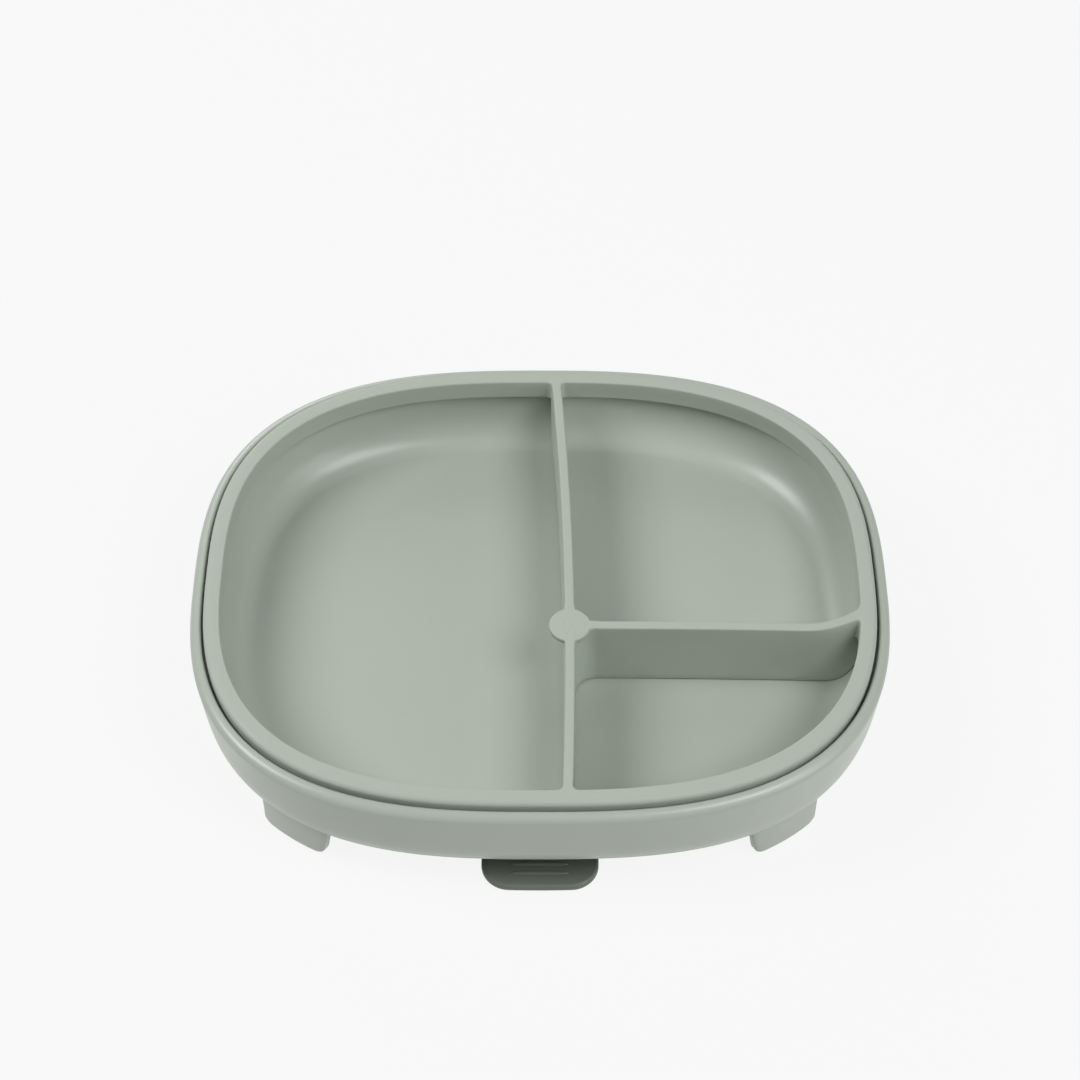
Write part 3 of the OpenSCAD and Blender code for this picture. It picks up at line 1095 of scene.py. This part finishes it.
@dataclass
class DividerInsert:
    """The soft insert: sealing ring, long wall, side wall and hub in one moulding.

    RAYS holds each compartment, the point its outline is traced from and how many points
    it gets. MARK holds the rings of the hub's moulded mark, each with its radius in mm and
    its share of the mark's depth.
    """

    RAYS = (
        (Side.LEFT, (-40.0 * MM, 0.0), 420),
        (Side.BACK, (45.0 * MM, 25.0 * MM), 300),
        (Side.FRONT, (45.0 * MM, -42.0 * MM), 300),
    )
    MARK = ((1.35, 0.0), (1.20, 0.4), (1.05, 1.0), (0.85, 1.0), (0.70, 0.35), (0.50, 0.0))

    size: Envelope
    finishes: Finishes
    wall: float = 2.8 * MM
    draft: float = 0.6 * MM
    hub_x: float = 8.4 * MM
    hub_y: float = -19.4 * MM
    hub_radius: float = 5.9 * MM
    hub_cap: float = 1.8 * MM
    corner: float = 6.5 * MM
    end_fillet: float = 1.7 * MM
    back_bow: float = 3.4 * MM
    front_bow: float = 0.9 * MM
    side_sag: float = 1.3 * MM
    side_turn: float = 6.2 * MM
    turn_from: float = 0.8
    clear: float = 0.3 * MM
    edge: float = 0.5 * MM
    ring_edge: float = 1.4 * MM
    foot_gap: float = 0.8 * MM
    foot_rise: float = 0.6 * MM
    mark_depth: float = 0.3 * MM
    top_sink: float = 0.03 * MM

    def long_wall(self, x: np.ndarray, y: np.ndarray) -> np.ndarray:
        """Signed distance to the long wall's middle line, positive on its right."""
        half = self.size.plan.half_y - self.size.ring_inset
        back = half - self.hub_y
        front = half + self.hub_y
        above = np.clip((y - self.hub_y) / back, 0.0, 1.5)
        below = np.clip((self.hub_y - y) / front, 0.0, 1.5)
        line = self.hub_x - self.back_bow * above**2 - self.front_bow * below**2
        slope = -2.0 * self.back_bow * above / back + 2.0 * self.front_bow * below / front
        return (x - line) / np.sqrt(1.0 + slope**2)

    def side_wall(self, x: np.ndarray, y: np.ndarray, turn: float) -> np.ndarray:
        """Signed distance to the side wall's middle line, positive on its back side.

        Args:
            x: Plan X.
            y: Plan Y.
            turn: How far the wall's outer end is turned to the back.

        Returns:
            The distances.
        """
        reach = self.size.plan.half_x - self.size.ring_inset - self.hub_x
        t = np.clip((x - self.hub_x) / reach, 0.0, 1.2)
        late = np.maximum(0.0, t - self.turn_from) / (1.0 - self.turn_from)
        line = self.hub_y - self.side_sag * t**2 + turn * late**2
        slope = (-2.0 * self.side_sag * t + 2.0 * turn * late / (1.0 - self.turn_from)) / reach
        return (y - line) / np.sqrt(1.0 + slope**2)

    def compartment(self, side: Side, level: CutLevel) -> Callable:
        """Field of one compartment at one height, negative inside it.

        Args:
            side: Which compartment.
            level: The outline's sizes at this height.

        Returns:
            A function of X and Y.
        """
        half = self.wall / 2.0 + level.shrink

        def field_at(x: np.ndarray, y: np.ndarray) -> np.ndarray:
            ring = self.size.plan.depth(x, y, level.ring_inset) + level.shrink
            long = self.long_wall(x, y)
            if side is Side.LEFT:
                return round_corner(ring, long + half, self.end_fillet)
            cross = self.side_wall(x, y, level.turn)
            across = half - cross if side is Side.BACK else cross + half
            walls = round_corner(half - long, across, self.corner)
            return round_corner(ring, walls, self.end_fillet)

        return field_at

    def trace(self, field_at: Callable, centre: tuple, angles: np.ndarray) -> np.ndarray:
        """Finds where rays from a point inside a compartment leave it.

        Args:
            field_at: The compartment's field.
            centre: The point that the rays start from.
            angles: The rays' directions.

        Returns:
            One plan point for each ray.
        """
        direction = np.stack([np.cos(angles), np.sin(angles)], axis=1)
        near, far = np.zeros(len(angles)), np.full(len(angles), self.size.plan.half_x * 2.2)
        for _ in range(44):
            middle = (near + far) / 2.0
            at = np.array(centre) + direction * middle[:, None]
            inside = field_at(at[:, 0], at[:, 1]) < 0.0
            near, far = np.where(inside, middle, near), np.where(inside, far, middle)
        return np.array(centre) + direction * near[:, None]

    def ray_angles(self, side: Side, centre: tuple, count: int) -> np.ndarray:
        """Ray angles that give points evenly spaced along a compartment's outline."""
        top = CutLevel(z=self.size.top_z, shrink=0.0, ring_inset=self.size.ring_inset, turn=self.side_turn)
        fine = np.linspace(0.0, 2.0 * math.pi, 16 * count + 1)
        step = np.diff(self.trace(self.compartment(side, top), centre, fine), axis=0)
        turn = np.unwrap(np.arctan2(step[:, 1], step[:, 0]))
        weight = np.linalg.norm(step, axis=1) + 3.0 * MM * np.abs(np.diff(turn, append=turn[-1]))
        length = np.concatenate([[0.0], np.cumsum(weight)])
        return np.interp(np.arange(count) * length[-1] / count, length, fine)

    def cut_levels(self) -> list:
        """Heights of a compartment's outline, from under the floor to above the ring."""
        size = self.size
        top = size.top_z - self.top_sink
        tall = top - size.floor_z
        outside = size.dish_inset - 1.0 * MM
        levels = []

        def add(z: float, shrink: float, ring_inset: float) -> None:
            share = min(1.0, max(0.0, (z - size.floor_z) / tall))
            levels.append(CutLevel(z, shrink, ring_inset, self.side_turn * share))

        half_draft = self.draft / 2.0
        add(size.floor_z - 1.0 * MM, half_draft - self.foot_gap, outside)
        for z in np.linspace(size.floor_z, size.floor_z + self.foot_rise, 4)[:-1]:
            lift = (z - size.floor_z) / self.foot_rise
            add(z, half_draft - self.foot_gap * (1.0 - lift) ** 2, outside)
        for z in np.linspace(size.floor_z + self.foot_rise, size.ledge_z, 9):
            add(z, half_draft * (top - z) / tall, outside)
        add(size.ledge_z, half_draft * (top - size.ledge_z) / tall, size.ring_inset)
        for z in np.linspace(size.ledge_z, top - self.edge, 4)[1:]:
            add(z, half_draft * (top - z) / tall, size.ring_inset)
        for a in np.radians(np.linspace(0.0, 90.0, 7)[1:]):
            add(top - self.edge * (1.0 - math.sin(a)), -self.edge * (1.0 - math.cos(a)), size.ring_inset)
        add(top + 2.0 * MM, -self.edge - 0.4 * MM, size.ring_inset)
        return levels

    def cutter(self, side: Side, centre: tuple, count: int) -> bpy.types.Object:
        """Builds the upright solid that one compartment takes out of the insert."""
        angles = self.ray_angles(side, centre, count)
        rings = []
        for level in self.cut_levels():
            plan = self.trace(self.compartment(side, level), centre, angles)
            rings.append(at_height(plan, level.z))
        return loft(f"cut_{side.value}", np.stack(rings))

    def plug(self) -> bpy.types.Object:
        """Builds the block that fills the dish up to the insert's top, before it is cut."""
        size = self.size
        outer = size.rim_wall + size.ring_gap
        top = size.top_z - self.top_sink
        soft = self.ring_edge
        section = size.dish_face(self.clear, 24)
        section += [(outer + 0.4 * MM, size.ledge_z), (outer, size.ledge_z + 0.4 * MM)]
        section += [(outer, z) for z in np.linspace(size.ledge_z + 1.0 * MM, top - soft, 5)]
        section += arc((outer + soft, top - soft), (soft, soft), 180.0, 90.0, 11)[1:]
        angles = size.plan.even_angles(AROUND)
        rings = [at_height(size.plan.points(angles, s), z) for s, z in section]
        return loft("insert_body", np.stack(rings))

    def hub_ring(self, angles: np.ndarray, reach: float | np.ndarray, z: float) -> np.ndarray:
        """Points round the hub's axis at one height."""
        x = self.hub_x + reach * np.cos(angles)
        y = self.hub_y + reach * np.sin(angles)
        return at_height(np.column_stack([x, y]), z)

    def hub(self) -> bpy.types.Object:
        """Builds the round cap over the walls' meeting point, flared into the walls."""
        count = 192
        angles = np.linspace(0.0, 2.0 * math.pi, count, endpoint=False)
        blend = 1.3 * MM
        reach = np.full(count, self.hub_radius)
        for arm in (0.0, math.pi / 2.0, -math.pi / 2.0):
            off = np.abs(np.angle(np.exp(1j * (angles - arm))))
            along = np.where(off < math.pi / 2.2, self.wall / 2.0 / np.maximum(np.sin(off), 1e-3), 0.0)
            along = np.minimum(along, self.hub_radius + 2.2 * MM)
            gap = np.maximum(0.0, blend - np.abs(reach - along)) / blend
            reach = np.maximum(reach, along) + gap**2 * blend / 4.0
        top, low = self.size.top_z, self.size.top_z - self.hub_cap
        soft = 0.45 * MM
        levels = [(low, soft), (low + soft * 0.3, soft * 0.3), (low + soft, 0.0), (top - soft, 0.0)]
        levels += [
            (top - soft * (1.0 - math.sin(a)), soft * (1.0 - math.cos(a)))
            for a in np.radians(np.linspace(0.0, 90.0, 5)[1:])
        ]
        rings = [self.hub_ring(angles, reach - inset, z) for z, inset in levels]
        rings += [self.hub_ring(angles, r * MM, top - sink * self.mark_depth) for r, sink in self.MARK]
        return loft("hub", np.stack(rings))

    def build(self) -> bpy.types.Object:
        """Builds the whole insert, dresses it and puts it on its body."""
        insert = self.plug()
        for side, centre, count in self.RAYS:
            combine(insert, self.cutter(side, centre, count), "DIFFERENCE")
        combine(insert, self.hub(), "UNION")
        insert.name = "divider"
        smooth(insert)
        dress(insert, self.finishes.insert)
        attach(insert, Body.DIVIDER.value)
        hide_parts("divider_insert")
        return insert


# ---------------------------------------------------------------- suction base


@dataclass
class SuctionBase:
    """The soft base: sealing lip, dome, plate, collar and release tab."""

    size: Envelope
    finishes: Finishes
    lip_radius: float = 60.0 * MM
    lip_thick: float = 2.4 * MM
    lip_edge: float = 0.9 * MM
    mouth_radius: float = 44.0 * MM
    plate_z: float = 6.6 * MM
    plate_thick: float = 2.2 * MM
    collar_inner: float = 30.15 * MM
    collar_outer: float = 34.0 * MM
    soft: float = 0.35 * MM
    tab_width: float = 32.8 * MM
    tab_bow: float = 0.5 * MM
    tab_corner: float = 7.5 * MM
    tab_edge: float = 0.9 * MM
    tab_root: float = 54.0 * MM
    tab_thick: float = 2.5 * MM
    rib_count: int = 3
    rib_start: float = 4.6 * MM
    rib_pitch: float = 3.0 * MM
    rib_depth: float = 1.5 * MM
    bend: float = 1.6 * MM
    pole: float = 0.4 * MM

    def cup(self) -> bpy.types.Object:
        """Builds lip, dome, plate and collar as one flexible moulding."""
        collar_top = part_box("suction_collar")[1].z
        plate_top = self.plate_z + self.plate_thick
        under_plate = self.plate_z + 0.3 * MM
        profile = [(self.pole, under_plate), (self.collar_outer - 6.0 * MM, under_plate)]
        dome_inner = (self.collar_outer - 3.0 * MM, self.plate_z - 0.2 * MM)
        dome_outer = (self.collar_outer + 0.6 * MM, plate_top - 0.4 * MM)
        lip_inner = (self.mouth_radius + 2.5 * MM, 0.9 * MM)
        lip_outer = (self.lip_radius - 10.5 * MM, self.lip_thick + 0.6 * MM)
        profile += s_curve(dome_inner, lip_inner, 12)
        profile += [
            (self.mouth_radius + 3.4 * MM, 0.15 * MM),
            (self.mouth_radius + 4.2 * MM, 0.0),
            (self.lip_radius - 0.5 * MM, 0.0),
            (self.lip_radius, 0.3 * MM),
            (self.lip_radius, self.lip_edge - 0.2 * MM),
            (self.lip_radius - 0.4 * MM, self.lip_edge + 0.1 * MM),
            (self.lip_radius - 2.2 * MM, self.lip_edge + 0.3 * MM),
            (self.lip_radius - 9.0 * MM, self.lip_thick),
        ]
        profile += s_curve(lip_outer, dome_outer, 12)
        profile += [
            (self.collar_outer, plate_top + 0.8 * MM),
            (self.collar_outer, collar_top - self.soft),
            (self.collar_outer - self.soft, collar_top),
            (self.collar_inner + self.soft, collar_top),
            (self.collar_inner, collar_top - self.soft),
            (self.collar_inner, plate_top),
            (self.pole, plate_top),
        ]
        cup = revolve("suction_cup", profile, 192, closed=False)
        smooth(cup, 50.0)
        dress(cup, self.finishes.base)
        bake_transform(cup)
        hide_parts("suction_lip", "suction_dome", "suction_collar")
        return cup

    def tab_outline(self, inset: float) -> np.ndarray:
        """Plan outline of the tab, drawn in by an inset, from its root round the front."""
        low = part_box("release_tab")[0]
        half = self.tab_width / 2.0 - inset
        front = low.y + inset
        radius = self.tab_corner - inset
        across = [half - radius + radius * math.cos(a) for a in np.radians(np.linspace(0.0, 90.0, 15))]
        across += list(np.linspace(half - radius, 0.0, 6)[1:-1])
        turned = [radius - math.sqrt(max(0.0, radius**2 - max(0.0, x - half + radius) ** 2)) for x in across]
        right = [(x, front + y + self.tab_bow * (x / half) ** 2) for x, y in zip(across, turned)]
        sides = [(half, y) for y in np.linspace(-self.tab_root, right[0][1], 26)[:-1]]
        return np.array(sides + right + [(-x, y) for x, y in (sides + right)[::-1]])

    def tab(self) -> bpy.types.Object:
        """Builds the pull tab with a rounded edge."""
        low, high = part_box("release_tab")
        bottom, top = low.z, low.z + self.tab_thick
        lower = np.radians(np.linspace(0.0, 90.0, 6))
        upper = np.radians(np.linspace(0.0, 90.0, 8))
        edge = self.tab_edge
        levels = [(bottom + (1.0 - math.cos(a)) * edge, (1.0 - math.sin(a)) * edge) for a in lower]
        levels += [(top - (1.0 - math.sin(a)) * edge, (1.0 - math.cos(a)) * edge) for a in upper]
        tab = loft("release_pull", np.stack([at_height(self.tab_outline(s), z) for z, s in levels]))
        ribs = RibRow.make(
            "ribs",
            self.rib_count,
            Vector((0.0, low.y + self.rib_start, top)),
            Vector((0.0, self.rib_pitch, 0.0)),
            Vector((self.tab_width / 2.0, self.rib_depth, 2.0 * (high.z - top))),
            self.finishes.base,
        )
        combine(tab, ribs, "UNION")
        smooth(tab)
        dress(tab, self.finishes.base)
        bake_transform(tab)
        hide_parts("release_tab")
        return tab

    def build(self) -> list:
        """Builds the cup and the tab."""
        return [self.cup(), self.tab()]


def s_curve(start: tuple, end: tuple, count: int) -> list:
    """Points along a soft S between two (radius, height) points, flat at its upper end."""
    steps = np.linspace(0.0, 1.0, count)
    ease = steps * steps * (3.0 - 2.0 * steps)
    mix = 0.55
    return [
        (start[0] + (end[0] - start[0]) * t, start[1] + (end[1] - start[1]) * (mix * e + (1.0 - mix) * t))
        for t, e in zip(steps, ease)
    ]


# ---------------------------------------------------------------- studio


@dataclass(frozen=True)
class Lamp:
    """A round softbox that looks at the object.

    Attributes:
        name: The lamp's name.
        azimuth: Where it stands round the object in degrees, 0 in front and 90 on the right.
        elevation: How high it stands, in degrees.
        level: Light on a white card that faces it, where 1 shows the card white.
        distance: How far it stands from the object's middle.
        width: Its diameter.
    """

    name: str
    azimuth: float
    elevation: float
    level: float
    distance: float = 1.5
    width: float = 0.8

    def build(self, target: Vector) -> bpy.types.Object:
        """Adds the lamp, aimed at a point."""
        turn, rise = math.radians(self.azimuth), math.radians(self.elevation)
        away = Vector((math.sin(turn) * math.cos(rise), -math.cos(turn) * math.cos(rise), math.sin(rise)))
        data = bpy.data.lights.new(self.name, "AREA")
        data.shape = "DISK"
        data.size = self.width
        data.energy = self.level * (math.pi * self.distance) ** 2
        made = bpy.data.objects.new(self.name, data)
        bpy.context.scene.collection.objects.link(made)
        made.location = target + away * self.distance
        made.rotation_euler = away.to_track_quat("Z", "Y").to_euler()
        return made


@dataclass
class Studio:
    """Floor, backdrop, lamps and camera."""

    camera_at: tuple = (0.0, -0.4815, 0.6079)
    look_at: tuple = (0.0, 0.01219, 0.040)
    lens: float = 86.3
    white: float = 0.947
    floor_shadow: float = 0.06
    floor_grey: float = 0.90
    world_level: float = 0.02
    lamps: tuple = (
        Lamp("left_softbox", azimuth=272.0, elevation=47.0, level=0.60),
        Lamp("right_softbox", azimuth=52.0, elevation=54.0, level=0.52),
        Lamp("front_fill", azimuth=60.0, elevation=20.0, level=0.20),
        Lamp("back_fill", azimuth=203.0, elevation=24.0, level=0.27),
    )

    def camera(self) -> bpy.types.Object:
        """Adds the camera."""
        data = bpy.data.cameras.new("camera")
        data.lens = self.lens
        data.sensor_width = 36.0
        data.clip_start = 0.01
        made = bpy.data.objects.new("camera", data)
        bpy.context.scene.collection.objects.link(made)
        made.location = self.camera_at
        aim = Vector(self.look_at) - Vector(self.camera_at)
        made.rotation_euler = aim.to_track_quat("-Z", "Y").to_euler()
        bpy.context.scene.camera = made
        return made

    def seen_by(self, sheet: NodeSheet) -> bpy.types.NodeSocket:
        """Gives 1 for camera, glossy and transmission rays."""
        path = sheet.add("ShaderNodeLightPath")
        first = sheet.math("MAXIMUM", path.outputs["Is Camera Ray"], path.outputs["Is Glossy Ray"])
        return sheet.math("MAXIMUM", first, path.outputs["Is Transmission Ray"])

    def floor(self) -> bpy.types.Object:
        """Adds the floor, which shows pale to the camera and keeps a faint shadow."""
        reach = 6.0
        rim = [(-reach, -reach, 0.0), (reach, -reach, 0.0), (reach, reach, 0.0), (-reach, reach, 0.0)]
        floor = mesh_object("floor", np.array(rim), [(0, 1, 2, 3)])
        made = bpy.data.materials.new("pale_floor")
        made.use_nodes = True
        sheet = NodeSheet(made.node_tree)
        made.node_tree.nodes.remove(made.node_tree.nodes["Principled BSDF"])
        output = made.node_tree.nodes["Material Output"]
        matte = sheet.add("ShaderNodeBsdfDiffuse")
        matte.inputs["Color"].default_value = (self.floor_grey,) * 3 + (1.0,)
        glow = sheet.add("ShaderNodeEmission")
        glow.inputs["Color"].default_value = (self.white,) * 3 + (1.0,)
        shown = sheet.add("ShaderNodeMixShader")
        sheet.link(sheet.math("MULTIPLY", self.seen_by(sheet), 1.0 - self.floor_shadow), shown.inputs[0])
        sheet.link(matte.outputs[0], shown.inputs[1])
        sheet.link(glow.outputs[0], shown.inputs[2])
        sheet.link(shown.outputs[0], output.inputs["Surface"])
        floor.data.materials.append(made)
        return floor

    def world(self) -> None:
        """Sets the plain surrounding light, and the pale background that the camera sees."""
        world = bpy.data.worlds.new("studio")
        bpy.context.scene.world = world
        world.use_nodes = True
        sheet = NodeSheet(world.node_tree)
        world.node_tree.nodes.clear()
        light = sheet.add("ShaderNodeBackground")
        light.inputs["Color"].default_value = (1.0, 1.0, 1.0, 1.0)
        light.inputs["Strength"].default_value = self.world_level
        pale = sheet.add("ShaderNodeBackground")
        pale.inputs["Color"].default_value = (self.white,) * 3 + (1.0,)
        pale.inputs["Strength"].default_value = 1.0
        shown = sheet.add("ShaderNodeMixShader")
        output = sheet.add("ShaderNodeOutputWorld")
        sheet.link(self.seen_by(sheet), shown.inputs[0])
        sheet.link(light.outputs[0], shown.inputs[1])
        sheet.link(pale.outputs[0], shown.inputs[2])
        sheet.link(shown.outputs[0], output.inputs["Surface"])

    def build(self) -> None:
        """Adds everything that isn't part of the object."""
        self.camera()
        self.floor()
        self.world()
        for lamp in self.lamps:
            lamp.build(Vector((0.0, 0.0, 0.03)))
        bpy.context.scene.view_settings.view_transform = "Standard"


def count_triangles(piece: bpy.types.Object) -> int:
    """Counts the triangles of a finished piece."""
    piece.data.calc_loop_triangles()
    return len(piece.data.loop_triangles)


def main() -> None:
    """Builds the studio and every sub-assembly."""
    size = Envelope.from_frame()
    finishes = Finishes()
    Studio().build()
    pieces = [BowlShell(size, finishes).build(), DividerInsert(size, finishes).build()]
    pieces += SuctionBase(size, finishes).build()
    for piece in pieces:
        log.info("%s: %d triangles", piece.name, count_triangles(piece))
    bpy.context.view_layer.update()


if __name__ == "__main__":
    logging.basicConfig(level=logging.INFO)
    main()
